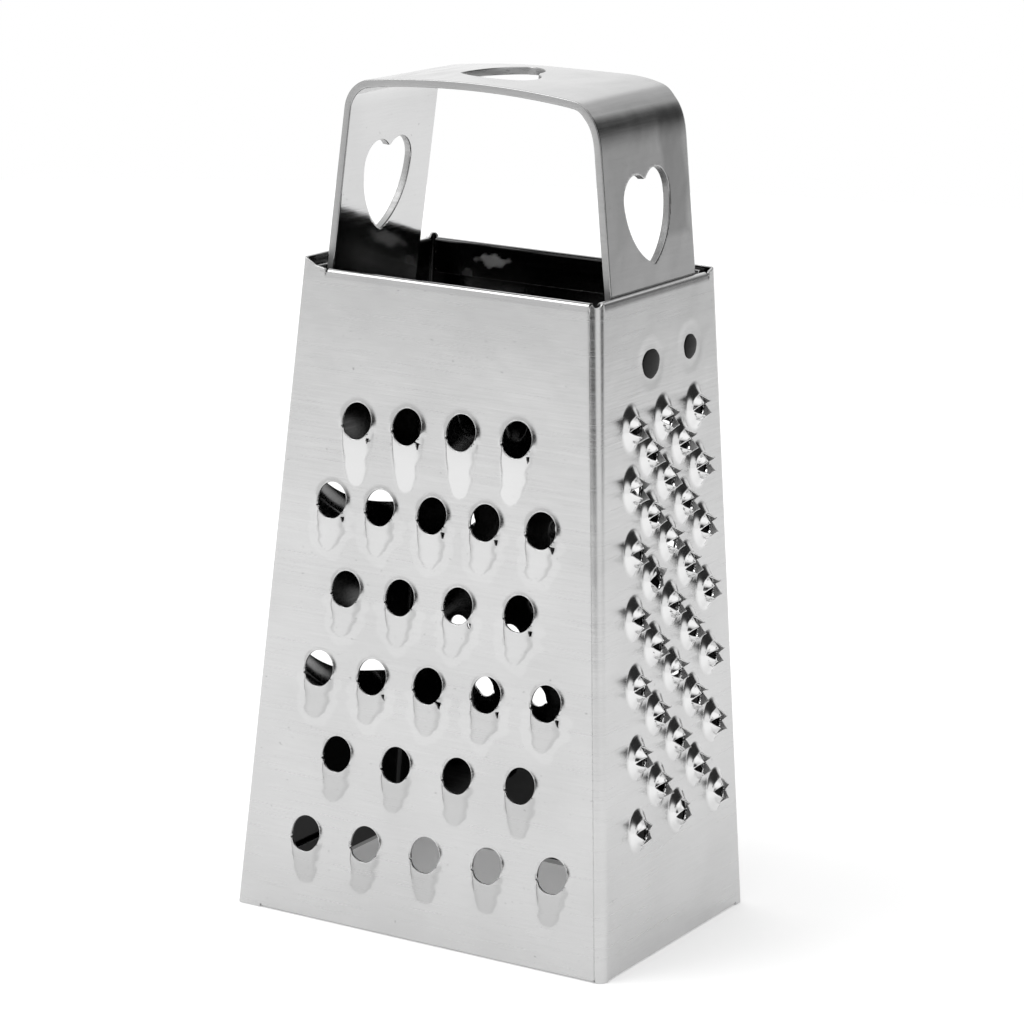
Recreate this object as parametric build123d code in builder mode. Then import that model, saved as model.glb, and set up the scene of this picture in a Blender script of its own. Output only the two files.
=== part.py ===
from build123d import *
from itertools import accumulate
from math import atan2, cos, sin, sqrt
import os

# A small four-sided box grater in thin sheet steel. Two folded halves make the tapered body: one
# sheet is the front and right walls, the other the back and left walls, and they meet in two
# spot-welded laps. A strap handle is welded inside the side walls. Lengths are millimetres, +Z is
# up, and the origin is on the resting plane at the centre of the base.

# Body, outside sizes
base_width = 44.5
base_depth = 31.2
top_width = 34.6
top_depth = 25.2
body_height = 68.9
sheet = 0.35
bend_radius = 0.5

# Sheet that has been drawn into a tooth is thinner than the flat sheet
drawn_sheet = 0.22

# Rolled hems along the top and bottom edges, and the raw sheet between their ends and the corners
hem_radius = 0.42
hem_leg = 3.4
hem_gap_front_left = 2.9
hem_gap_before_bend = 1.0
hem_gap_after_bend = 1.4
hem_gap_before_lap = 1.5
ear_height = 1.0
ear_waist_height = 0.25
low_ear_height = 0.4
bend_notch_depth = 0.4
bend_dip_depth = 0.15

# Lap seams at the front-left and back-right corners, spot-welded at heights above the base
lap_width = 4.6
lap_clearance = 0.1
seam_weld_radius = 1.1
seam_weld_heights = (12.0, 27.0, 42.0, 57.0)

# Strap handle
overall_height = 88.9
strap_width = 17.4
strap_thickness = 0.8
strap_offset = -0.35
strap_clearance = 0.02
strap_top_width = 29.3
strap_camber = 1.1
strap_bend_radius = 3.3
strap_edge_radius = 0.15
strap_end_height = 57.6

# Heart cut-outs in the strap
heart_width = 9.2
heart_length = 9.5
heart_height_right = 75.8
heart_height_left = 76.4
heart_tilt_right = 6
heart_top_offset = -0.6
heart_notch_share = 0.405
heart_lobe_share = (0.27, 0.5)
heart_widest_share = (0.5, 0.245)

# Spot welds between the strap and the side walls, each in a shallow dent: (across, height)
handle_weld_radius = 1.55
handle_welds = ((-2.0, 61.3), (6.4, 61.8))
dent_radius = 3.5
dent_floor_radius = 2.1

# Coarse scoops in the front wall, in rows counted from the lowest
scoop_hole_radius = 1.85
scoop_lip = 0.95
scoop_length = 4.6
scoop_long_length = 6.4
scoop_row_counts = (5, 4, 5, 4, 5, 4)
scoop_first_row = 9.65
scoop_row_pitch = 8.87
scoop_pitch_low = 7.42
scoop_pitch_high = 6.22
scoop_shift_low = 0.64
scoop_shift_high = -0.55

# Medium scoops in the back wall
medium_hole_radius = 1.25
medium_lip = 0.7
medium_length = 3.1
medium_row_counts = (5, 4, 5, 4, 5, 4, 5, 4)
medium_first_row = 12.6
medium_row_pitch = 6.4
medium_pitch_low = 6.8
medium_pitch_high = 5.9

# Star burrs in the right wall, in staggered half rows that draw closer together towards the top
burr_first_row = 13.9
burr_step_low = 3.87
burr_step_high = 3.05
burr_half_rows = 13
burr_pitch_low = 4.3
burr_pitch_high = 3.43
burr_shift_low = 1.3
burr_shift_high = 0.46
burr_mound_radius = 1.75
burr_rim_radius = 0.95
burr_mound_height = 0.55
burr_hole_radius = 0.62
burr_petals = 4
burr_petal_width = 1.15
burr_petal_height = 0.85
burr_petal_root = 0.15
burr_petal_splay = 24

# Slicing slots in the left wall: slanted, bowed, with a raised blade along the lower edge
slot_heights = (22.4, 41.8)
slot_shift = -1.0
slot_length = 18.6
slot_opening = 2.4
slot_slant = 7.8
slot_bow = 1.5
slot_blade_lift = 1.6
slot_blade_width = 2.8
slot_arc_share = 0.98
slot_stations = 9

# A scoop's hood is a ruled shell through sections: place along it, half width and height. The
# hollow stops short of the tip. The hood starts this share of the hole's radius below its centre.
hood_shares = ((0.0, 0.98, 0.70), (0.26, 1.0, 1.0), (0.62, 0.74, 0.62), (1.0, 0.16, 0.08))
hood_hollow_shares = hood_shares[:-1] + ((0.76, 0.52, 0.42),)
hood_start_share = 0.45
hood_side_width = 0.2

# Cuts run past their faces by the overrun, and the reach is longer than any part
overrun = 1.0
reach = 2 * overall_height

corner_radius = bend_radius + 2 * sheet
dent_depth = 2 * hem_radius + strap_clearance - sheet


class Wall:
    """A wall of the body as seen from outside: u runs to the right, v up it and n outward."""

    def __init__(self, turn, base_span, top_span, base_length, top_length):
        self.turn = turn
        self.base_out = base_span / 2
        self.base_half = base_length / 2
        self.top_half = top_length / 2
        self.lean = atan2((base_span - top_span) / 2, body_height)

    def plane(self, depth=0.0):
        """The plane this deep inside the wall's outer face, with its origin on the base."""
        origin = Vector(0, -self.base_out, 0).rotate(Axis.Z, self.turn)
        across = Vector(1, 0, 0).rotate(Axis.Z, self.turn)
        outward = Vector(0, -cos(self.lean), sin(self.lean)).rotate(Axis.Z, self.turn)
        return Plane(origin=origin, x_dir=across, z_dir=outward).offset(-depth)

    def level(self, height, depth=0.0):
        """The v coordinate, at a depth, of a height above the base."""
        return (height + depth * sin(self.lean)) / cos(self.lean)

    def half_length(self, height):
        """Half of the wall's length at a height above the base."""
        return self.base_half + (self.top_half - self.base_half) * height / body_height

    def planes_at(self, places, depth=0.0):
        """Planes on the wall's face at places given as (u, height)."""
        face = self.plane(depth)
        origins = [face.from_local_coords((u, self.level(height, depth), 0)) for u, height in places]
        return [Plane(origin=origin, x_dir=face.x_dir, z_dir=face.z_dir) for origin in origins]


front = Wall(0, base_depth, top_depth, base_width, top_width)
right = Wall(90, base_width, top_width, base_depth, top_depth)
back = Wall(180, base_depth, top_depth, base_width, top_width)
left = Wall(270, base_width, top_width, base_depth, top_depth)


def graded(first, last, share):
    """A size that grades evenly from its first value to its last."""
    return first + (last - first) * share


def tapered_block(inset, low, high):
    """The solid bounded by the four walls, this far inside their outer faces."""
    with BuildPart() as block:
        for height in (low, high):
            width = 2 * (front.half_length(height) - inset / cos(right.lean))
            depth = 2 * (right.half_length(height) - inset / cos(front.lean))
            with BuildSketch(Plane.XY.offset(height)):
                RectangleRounded(width, depth, corner_radius - inset)
        loft(ruled=True)
    return block.part


def back_left_block(distance):
    """All that lies further than this from the front and the right outer faces."""
    with BuildPart() as block:
        for height in (-overrun, body_height + ear_height + overrun):
            corner = (front.half_length(height) - distance, distance - right.half_length(height))
            with BuildSketch(Plane.XY.offset(height)):
                with Locations(corner):
                    Rectangle(reach, reach, align=(Align.MAX, Align.MIN))
        loft(ruled=True)
    return block.part


def hem_span(wall, top, left_gap, right_gap):
    """Where a hem starts and ends along its wall."""
    half = wall.half_length(body_height if top else 0)
    return left_gap - half, half - right_gap


def hem_centre(wall, depth, top):
    """Where the centre of a hem's roll lies up its wall."""
    height = body_height - hem_radius if top else hem_radius
    return wall.level(height, depth + hem_radius)


def rolled_hem(wall, depth, top, left_gap, right_gap):
    """An edge of a wall rolled inward through half a turn, its leg lying along the inside."""
    side = 1 if top else -1
    centre = hem_centre(wall, depth, top)
    start, end = hem_span(wall, top, left_gap, right_gap)
    leg_end = centre - side * hem_leg
    inside = -2 * hem_radius
    face = wall.plane(depth)
    profile = Plane(origin=face.from_local_coords((start, 0, 0)), x_dir=face.y_dir, z_dir=face.x_dir)
    with BuildPart() as hem:
        with BuildSketch(profile):
            with BuildLine():
                ThreePointArc((centre, 0), (centre + side * hem_radius, inside / 2), (centre, inside))
                Polyline(
                    (centre, inside),
                    (leg_end, inside),
                    (leg_end, inside + sheet),
                    (centre, inside + sheet),
                )
                crown = (centre + side * (hem_radius - sheet), inside / 2)
                ThreePointArc((centre, inside + sheet), crown, (centre, -sheet))
                Line((centre, -sheet), (centre, 0))
            make_face()
        extrude(amount=end - start)
        add(tapered_block(depth, 0, body_height), mode=Mode.INTERSECT)
    return hem.part


def hem_room(wall, depth, top, left_gap, right_gap):
    """The flat sheet that a hem takes the place of."""
    centre = hem_centre(wall, depth, top)
    start, end = hem_span(wall, top, left_gap, right_gap)
    align = Align.MIN if top else Align.MAX
    with BuildPart() as room:
        with BuildSketch(wall.plane(depth + sheet + hem_radius)):
            with Locations((start, centre)):
                Rectangle(end - start, hem_radius + ear_height + overrun, align=(Align.MIN, align))
        extrude(amount=sheet + 2 * hem_radius)
    return room.part


def raw_edge(wall, depth, start, run, rises):
    """What is cut away above the raw top edge of a wall, which passes through these rises."""
    rim = wall.level(body_height, depth)
    beyond = rim + ear_height + overrun
    spacing = run / (len(rises) - 1)
    edge = [(start + place * spacing, rim + rise) for place, rise in enumerate(rises)]
    with BuildPart() as cut:
        with BuildSketch(wall.plane(depth + sheet + hem_radius)):
            Polygon(*edge, (start + run, beyond), (start, beyond), align=None)
        extrude(amount=sheet + 2 * hem_radius)
    return cut.part


def hood(half_width, height, length, start, shares, skin):
    """A raised hood, or with a skin thickness the hollow inside it, down a wall from its start."""
    foot = -(sheet + overrun) if skin else -sheet / 2
    with BuildPart() as shell:
        for along, wide, high in shares:
            side = wide * (half_width - skin)
            rise = high * (height - skin)
            place = (0, start - along * length, 0)
            with BuildSketch(Plane(origin=place, x_dir=(1, 0, 0), z_dir=(0, -1, 0))):
                with BuildLine():
                    ThreePointArc((-side, 0), (0, rise), (side, 0))
                    Polyline((side, 0), (side, foot), (-side, foot), (-side, 0))
                make_face()
        loft(ruled=True)
    return shell.part


def scoop(hole_radius, lip, length):
    """The raised form of a scoop and the opening through it, on the wall's face about its hole."""
    half_width = hole_radius + hood_side_width
    start = -hood_start_share * hole_radius
    raised = hood(half_width, lip, length, start, hood_shares, 0)
    with BuildPart() as opening:
        add(hood(half_width, lip, length, start, hood_hollow_shares, drawn_sheet))
        Cylinder(hole_radius, 2 * (lip + sheet + overrun))
    return raised, opening.part


def fanned_rows(counts, first, row_pitch, pitch_low, pitch_high, shift_low=0, shift_high=0):
    """Rows of places that fan out towards the base, as (u, height)."""
    places = []
    for row, count in enumerate(counts):
        share = row / (len(counts) - 1)
        pitch = graded(pitch_low, pitch_high, share)
        shift = graded(shift_low, shift_high, share)
        for place in range(count):
            places.append((shift + (place - (count - 1) / 2) * pitch, first + row * row_pitch))
    return places


def burr_places():
    """Places of the star burrs, in rows of three and two by turns, as (u, height)."""
    last_step = burr_half_rows - 2
    steps = [graded(burr_step_low, burr_step_high, row / last_step) for row in range(last_step + 1)]
    places = []
    for row, height in enumerate(accumulate(steps, initial=burr_first_row)):
        share = row / (last_step + 1)
        pitch = graded(burr_pitch_low, burr_pitch_high, share)
        shift = graded(burr_shift_low, burr_shift_high, share)
        for column in (-1, 1) if row % 2 else (-2, 0, 2):
            places.append((shift + column * pitch, height))
    return places


def burr():
    """A star burr pushed out of the wall from behind: its raised form and its hollow."""
    with BuildPart() as petal:
        splay = Vector(1, 0, 0).rotate(Axis.Y, burr_petal_splay)
        root = (burr_hole_radius, 0, burr_mound_height)
        with BuildSketch(Plane(origin=root, x_dir=(0, 1, 0), z_dir=splay)):
            half = burr_petal_width / 2
            Polygon((-half, -burr_petal_root), (half, -burr_petal_root), (0, burr_petal_height), align=None)
        extrude(amount=drawn_sheet)
    with BuildPart() as raised:
        with Locations((0, 0, -sheet / 2)):
            height = burr_mound_height + sheet / 2
            Cone(burr_mound_radius, burr_rim_radius, height, align=(Align.CENTER, Align.CENTER, Align.MIN))
        with PolarLocations(0, burr_petals, start_angle=180 / burr_petals):
            add(petal.part)
    with BuildPart() as hollow:
        with Locations((0, 0, -sheet - drawn_sheet)):
            height = burr_mound_height + sheet
            Cone(burr_mound_radius, burr_hole_radius, height, align=(Align.CENTER, Align.CENTER, Align.MIN))
        Cylinder(burr_hole_radius, 2 * (burr_mound_height + overrun))
    return raised.part, hollow.part


def blade_sections():
    """A slicing slot's blade at stations along it: (place, edge, lift), about the slot's middle.

    The lift follows an arc that is cut off a little short of its ends, where the blade still stands
    proud of the wall.
    """
    sections = []
    for station in range(slot_stations):
        place = 2 * station / (slot_stations - 1) - 1
        edge = place * slot_slant / 2 + place**2 * slot_bow
        lift = sqrt(1 - (slot_arc_share * place) ** 2) * slot_blade_lift
        sections.append((place * slot_length / 2, edge, lift))
    return sections


def slicing_slot():
    """The raised blade of a slicing slot, and the opening behind it that trims its edge."""
    deep = -(sheet + overrun)
    clear = slot_blade_lift + overrun
    with BuildPart() as raised:
        for along, edge, lift in blade_sections():
            foot = edge - slot_blade_width
            past = edge + sheet
            with BuildSketch(Plane(origin=(along, 0, 0), x_dir=(0, 1, 0), z_dir=(1, 0, 0))):
                ahead = ((foot, -sheet / 2), (past, -sheet / 2), (past, lift), (edge, lift))
                Polygon(*ahead, (foot, 0), align=None)
        loft(ruled=True)
    with BuildPart() as opening:
        for along, edge, lift in blade_sections():
            foot = edge - slot_blade_width + sheet
            top = edge + slot_opening
            with BuildSketch(Plane(origin=(along, 0, 0), x_dir=(0, 1, 0), z_dir=(1, 0, 0))):
                behind = ((foot, deep), (top, deep), (top, clear), (edge, clear), (edge, lift - drawn_sheet))
                Polygon(*behind, (foot, -drawn_sheet), align=None)
        loft(ruled=True)
    return raised.part, opening.part


def seam_places(wall, side):
    """Places of the seam's spot welds, along the middle of the lap on this side of a wall."""
    return [(side * (wall.half_length(height) - lap_width / 2), height) for height in seam_weld_heights]


def strap_reach(height, depth):
    """How far out the strap's leg stands, at a height, inside a wall whose face is this deep."""
    return front.half_length(height) - (depth + 2 * hem_radius + strap_clearance) / cos(right.lean)


# Both halves are folded from strips that reach from the base to their raw ears
free_end = corner_radius + lap_clearance
scoops = fanned_rows(scoop_row_counts, scoop_first_row, scoop_row_pitch, scoop_pitch_low,
                     scoop_pitch_high, scoop_shift_low, scoop_shift_high)
long_scoops = scoops[-scoop_row_counts[-1]:]
short_scoops = scoops[:-scoop_row_counts[-1]]
medium_scoops = fanned_rows(medium_row_counts, medium_first_row, medium_row_pitch,
                            medium_pitch_low, medium_pitch_high)
slot_places = [(slot_shift, height) for height in slot_heights]
left_handle_welds = [(-across, height) for across, height in handle_welds]
seam_weld_planes = left.planes_at(seam_places(left, 1)) + back.planes_at(seam_places(back, -1))
handle_weld_planes = right.planes_at(handle_welds, dent_depth)
handle_weld_planes += left.planes_at(left_handle_welds, sheet + dent_depth)
top_corner = front.half_length(body_height)
side_corner = right.half_length(body_height)

# Front and right walls
scoop_raised, scoop_opening = scoop(scoop_hole_radius, scoop_lip, scoop_length)
long_raised, long_opening = scoop(scoop_hole_radius, scoop_lip, scoop_long_length)
burr_raised, burr_hollow = burr()
front_hem = (front, 0, True, hem_gap_front_left, hem_gap_before_bend)
front_base_hem = (front, 0, False, hem_gap_front_left, hem_gap_before_bend)
right_hem = (right, 0, True, hem_gap_after_bend, hem_gap_before_lap)
right_base_hem = (right, 0, False, hem_gap_after_bend, hem_gap_before_lap)
with BuildPart() as front_right_half:
    add(tapered_block(0, 0, body_height + ear_height))
    add(tapered_block(sheet, -overrun, body_height + ear_height + overrun), mode=Mode.SUBTRACT)
    add(back_left_block(lap_width), mode=Mode.SUBTRACT)
    for hem in (front_hem, front_base_hem, right_hem, right_base_hem):
        add(hem_room(*hem), mode=Mode.SUBTRACT)
    notch_rises = (0, -bend_notch_depth)
    lap_rises = (0, low_ear_height)
    add(raw_edge(front, 0, -top_corner, hem_gap_front_left, (ear_height, ear_waist_height, 0)),
        mode=Mode.SUBTRACT)
    add(raw_edge(front, 0, top_corner - hem_gap_before_bend, hem_gap_before_bend, notch_rises),
        mode=Mode.SUBTRACT)
    add(raw_edge(right, 0, -side_corner, hem_gap_after_bend, notch_rises[::-1]), mode=Mode.SUBTRACT)
    add(raw_edge(right, 0, side_corner - hem_gap_before_lap, hem_gap_before_lap, lap_rises),
        mode=Mode.SUBTRACT)
    add(raw_edge(back, 0, -top_corner, lap_width + overrun, (low_ear_height, low_ear_height)),
        mode=Mode.SUBTRACT)
    for hem in (front_hem, front_base_hem, right_hem, right_base_hem):
        add(rolled_hem(*hem))
    with Locations(*front.planes_at(short_scoops)):
        add(scoop_raised)
    with Locations(*front.planes_at(long_scoops)):
        add(long_raised)
    with Locations(*right.planes_at(burr_places())):
        add(burr_raised)
    with Locations(*right.planes_at(handle_welds, sheet + dent_depth)):
        Cone(dent_floor_radius, dent_radius, dent_depth, align=(Align.CENTER, Align.CENTER, Align.MIN))
    with Locations(*front.planes_at(short_scoops)):
        add(scoop_opening, mode=Mode.SUBTRACT)
    with Locations(*front.planes_at(long_scoops)):
        add(long_opening, mode=Mode.SUBTRACT)
    with Locations(*right.planes_at(burr_places())):
        add(burr_hollow, mode=Mode.SUBTRACT)
    with Locations(*right.planes_at(handle_welds, dent_depth)):
        Cone(dent_floor_radius, dent_radius, dent_depth, align=(Align.CENTER, Align.CENTER, Align.MIN),
             mode=Mode.SUBTRACT)
        Cylinder(handle_weld_radius, 2 * (sheet + dent_depth), mode=Mode.SUBTRACT)
    with Locations(*seam_weld_planes):
        Cylinder(seam_weld_radius, 2 * (sheet + overrun), mode=Mode.SUBTRACT)
front_right_half.part.label = "front_right_half"

# Back and left walls, whose free ends lie inside the laps
medium_raised, medium_opening = scoop(medium_hole_radius, medium_lip, medium_length)
slot_raised, slot_hole = slicing_slot()
back_hem = (back, sheet, True, free_end, hem_gap_before_bend + sheet)
back_base_hem = (back, sheet, False, free_end, hem_gap_before_bend + sheet)
left_hem = (left, sheet, True, hem_gap_after_bend + sheet, free_end)
left_base_hem = (left, sheet, False, hem_gap_after_bend + sheet, free_end)
with BuildPart() as back_left_half:
    add(tapered_block(sheet, 0, body_height + low_ear_height))
    add(tapered_block(2 * sheet, -overrun, body_height + ear_height), mode=Mode.SUBTRACT)
    add(back_left_block(free_end), mode=Mode.INTERSECT)
    for hem in (back_hem, back_base_hem, left_hem, left_base_hem):
        add(hem_room(*hem), mode=Mode.SUBTRACT)
    add(raw_edge(back, sheet, top_corner - sheet - hem_gap_before_bend, hem_gap_before_bend,
                 (0, low_ear_height, low_ear_height)), mode=Mode.SUBTRACT)
    add(raw_edge(left, sheet, sheet - side_corner, hem_gap_after_bend,
                 (low_ear_height, low_ear_height, -bend_dip_depth, 0)), mode=Mode.SUBTRACT)
    for hem in (back_hem, back_base_hem, left_hem, left_base_hem):
        add(rolled_hem(*hem))
    with Locations(*back.planes_at(medium_scoops, sheet)):
        add(medium_raised)
    with Locations(*left.planes_at(slot_places, sheet)):
        add(slot_raised)
    with Locations(*left.planes_at(left_handle_welds, 2 * sheet + dent_depth)):
        Cone(dent_floor_radius, dent_radius, dent_depth, align=(Align.CENTER, Align.CENTER, Align.MIN))
    with Locations(*back.planes_at(medium_scoops, sheet)):
        add(medium_opening, mode=Mode.SUBTRACT)
    with Locations(*left.planes_at(slot_places, sheet)):
        add(slot_hole, mode=Mode.SUBTRACT)
    with Locations(*left.planes_at(left_handle_welds, sheet + dent_depth)):
        Cone(dent_floor_radius, dent_radius, dent_depth, align=(Align.CENTER, Align.CENTER, Align.MIN),
             mode=Mode.SUBTRACT)
        Cylinder(handle_weld_radius, 2 * (sheet + dent_depth), mode=Mode.SUBTRACT)
    with Locations(*seam_weld_planes):
        Cylinder(seam_weld_radius, 2 * (2 * sheet + overrun), mode=Mode.SUBTRACT)
back_left_half.part.label = "back_left_half"

# Strap handle, a band bent to an arch with a cambered top
foot_height = strap_end_height - 2 * strap_thickness
right_knee = (strap_reach(body_height, 0), body_height)
left_knee = (-strap_reach(body_height, sheet), body_height)
right_shoulder = (strap_top_width / 2, overall_height - strap_camber)
left_shoulder = (-strap_top_width / 2, overall_height - strap_camber)


def leg_plane(knee, shoulder, height):
    """The outer face of a strap leg above the rim, seen from outside, at a height."""
    side = 1 if knee[0] > 0 else -1
    slope = (shoulder[0] - knee[0]) / (shoulder[1] - knee[1])
    origin = (knee[0] + slope * (height - knee[1]), strap_offset, height)
    return Plane(origin=origin, x_dir=(0, side, 0), z_dir=(side, 0, -side * slope))


right_heart_plane = leg_plane(right_knee, right_shoulder, heart_height_right)
right_heart_plane = right_heart_plane.rotated((0, 0, heart_tilt_right))
left_heart_plane = leg_plane(left_knee, left_shoulder, heart_height_left)
top_heart_place = (heart_top_offset, strap_offset, overall_height)
top_heart_plane = Plane(origin=top_heart_place, x_dir=(0, -1, 0), z_dir=(0, 0, 1))

# The heart cut-out, its middle at the origin
heart_notch = (0, heart_notch_share * heart_length)
heart_lobe = (heart_lobe_share[0] * heart_width, heart_lobe_share[1] * heart_length)
heart_widest = (heart_widest_share[0] * heart_width, heart_widest_share[1] * heart_length)
with BuildSketch() as heart:
    with BuildLine():
        ThreePointArc(heart_notch, heart_lobe, heart_widest)
        TangentArc(heart_widest, (0, -heart_length / 2), tangent=(0, -1))
        mirror(about=Plane.YZ)
    make_face()

with BuildPart() as strap_handle:
    with BuildSketch(Plane.XZ.offset(-strap_offset)):
        with BuildLine():
            Polyline(
                left_shoulder,
                left_knee,
                (-strap_reach(foot_height, sheet), foot_height),
                (strap_reach(foot_height, 0), foot_height),
                right_knee,
                right_shoulder,
            )
            ThreePointArc(right_shoulder, (0, overall_height), left_shoulder)
        make_face()
        fillet(vertices().sort_by(Axis.Y)[-2:], radius=strap_bend_radius)
        offset(amount=-strap_thickness, mode=Mode.SUBTRACT)
        with Locations((0, strap_end_height)):
            Rectangle(reach, reach, align=(Align.CENTER, Align.MAX), mode=Mode.SUBTRACT)
    extrude(amount=strap_width / 2, both=True)
    fillet(faces().filter_by(Axis.Y).edges(), radius=strap_edge_radius)
    with BuildSketch(right_heart_plane):
        add(heart.sketch)
    extrude(amount=strap_thickness + overrun, both=True, mode=Mode.SUBTRACT)
    with BuildSketch(left_heart_plane):
        add(heart.sketch)
    extrude(amount=strap_thickness + overrun, both=True, mode=Mode.SUBTRACT)
    with BuildSketch(top_heart_plane):
        add(heart.sketch)
    extrude(amount=-(strap_thickness + strap_camber + overrun), mode=Mode.SUBTRACT)
    with Locations(*handle_weld_planes):
        Cylinder(handle_weld_radius, 2 * (sheet + strap_thickness + overrun), mode=Mode.SUBTRACT)
strap_handle.part.label = "strap_handle"

# Spot welds, as the nuggets of metal that join two sheets
with BuildPart() as handle_spot_welds:
    with Locations(*handle_weld_planes):
        Cylinder(handle_weld_radius, sheet + strap_thickness, align=(Align.CENTER, Align.CENTER, Align.MAX))
handle_spot_welds.part.label = "handle_spot_welds"

with BuildPart() as seam_spot_welds:
    with Locations(*seam_weld_planes):
        Cylinder(seam_weld_radius, 2 * sheet, align=(Align.CENTER, Align.CENTER, Align.MAX))
seam_spot_welds.part.label = "seam_spot_welds"

os.makedirs("parts", exist_ok=True)
export_step(front_right_half.part, "parts/front_right_half.step")
export_step(back_left_half.part, "parts/back_left_half.step")
export_step(strap_handle.part, "parts/strap_handle.step")
export_step(handle_spot_welds.part, "parts/handle_spot_welds.step")
export_step(seam_spot_welds.part, "parts/seam_spot_welds.step")
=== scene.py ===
import math
from dataclasses import dataclass

import bpy
import numpy as np
from mathutils import Matrix, Vector


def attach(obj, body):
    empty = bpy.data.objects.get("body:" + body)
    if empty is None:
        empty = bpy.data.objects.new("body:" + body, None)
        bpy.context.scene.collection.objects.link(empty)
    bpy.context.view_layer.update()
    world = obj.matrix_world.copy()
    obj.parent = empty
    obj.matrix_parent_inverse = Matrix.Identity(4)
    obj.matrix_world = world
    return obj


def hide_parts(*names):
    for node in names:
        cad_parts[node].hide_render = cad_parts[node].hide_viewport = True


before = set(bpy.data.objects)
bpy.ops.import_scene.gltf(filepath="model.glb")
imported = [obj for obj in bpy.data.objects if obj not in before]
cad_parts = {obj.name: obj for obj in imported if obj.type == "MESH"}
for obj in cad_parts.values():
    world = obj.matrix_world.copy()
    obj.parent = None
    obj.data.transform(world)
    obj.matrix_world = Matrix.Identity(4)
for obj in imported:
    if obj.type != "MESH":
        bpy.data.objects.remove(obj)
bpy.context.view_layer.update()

# Lengths are millimetres here, and become metres where the meshes are made. The walls are numbered
# 0 front, 1 right, 2 back and 3 left. On a wall, u runs to the right and z up, seen from outside.
MM = 0.001

BASE = (44.5, 31.2)
TOP = (34.6, 25.2)
BODY_HEIGHT = 68.9
SHEET = 0.35
SKIN = 0.3
RIM = 0.06
CORNER = 1.2
TIGHT_CORNER = 0.5
ARC = CORNER * math.pi / 2
LEAN = (
    math.atan2((BASE[1] - TOP[1]) / 2, BODY_HEIGHT),
    math.atan2((BASE[0] - TOP[0]) / 2, BODY_HEIGHT),
)

HEM = 0.42
HEM_TURN = HEM * math.pi
HEM_LEG = 3.4
HEM_LOW = HEM
HEM_HIGH = BODY_HEIGHT - HEM
HEM_LEAN_IN = 0.055
HEM_OVERRUN = 0.4
BEND_STEPS = 12
LEG_STEPS = 16
SLIT = 0.07
FAR = 9.0

LAP = 4.6
FREE_END = CORNER + 0.1

HANDLE_WELDS = ((-1.9, 61.45), (6.65, 61.9))
HANDLE_WELD_RADIUS = 1.75
HANDLE_WELD_SHAPES = ((1.06, 0.86), (0.8, 0.74))
SEAM_WELD_HEIGHTS = (12.0, 27.0, 42.0, 57.0)
SEAM_WELD_RADIUS = 1.1

rng = np.random.default_rng(7)


def ease(share):
    """A share from 0 to 1, eased at both ends."""
    share = np.clip(share, 0.0, 1.0)
    return share * share * (3.0 - 2.0 * share)


def half_span(wall, z):
    """Half of a wall's length at heights z."""
    side = wall % 2
    return (BASE[side] + (TOP[side] - BASE[side]) * z / BODY_HEIGHT) / 2


def turned_about_z(points, wall):
    """Points of the front wall's own frame, turned to a wall's place."""
    x, y, z = points
    for _ in range(wall):
        x, y = -y, x
    return np.stack([x, y, z], axis=-1)


def hem_profile(b, rolled):
    """At b up a wall's profile: the height, the way in and the outward and upward normal."""
    z = np.array(b, float)
    way_in = np.zeros_like(z)
    outward = np.ones_like(z)
    upward = np.zeros_like(z)
    for side, edge in ((1, HEM_HIGH), (-1, HEM_LOW)):
        past = np.where(rolled, side * (b - edge), 0.0)
        turned = past > 0
        angle = np.clip(past / HEM, 0, math.pi)
        leg = np.clip(past - HEM_TURN, 0, None)
        z = np.where(turned, edge + side * (HEM * np.sin(angle) - leg), z)
        way_in = np.where(turned, HEM * (1 - np.cos(angle)), way_in)
        outward = np.where(turned, np.cos(angle), outward)
        upward = np.where(turned, side * np.sin(angle), upward)
    way_in += np.where(rolled, HEM_LEAN_IN * np.clip((b - HEM_HIGH) / HEM + 1, 0, 1) ** 2, 0.0)
    return z, way_in, outward, upward


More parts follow.
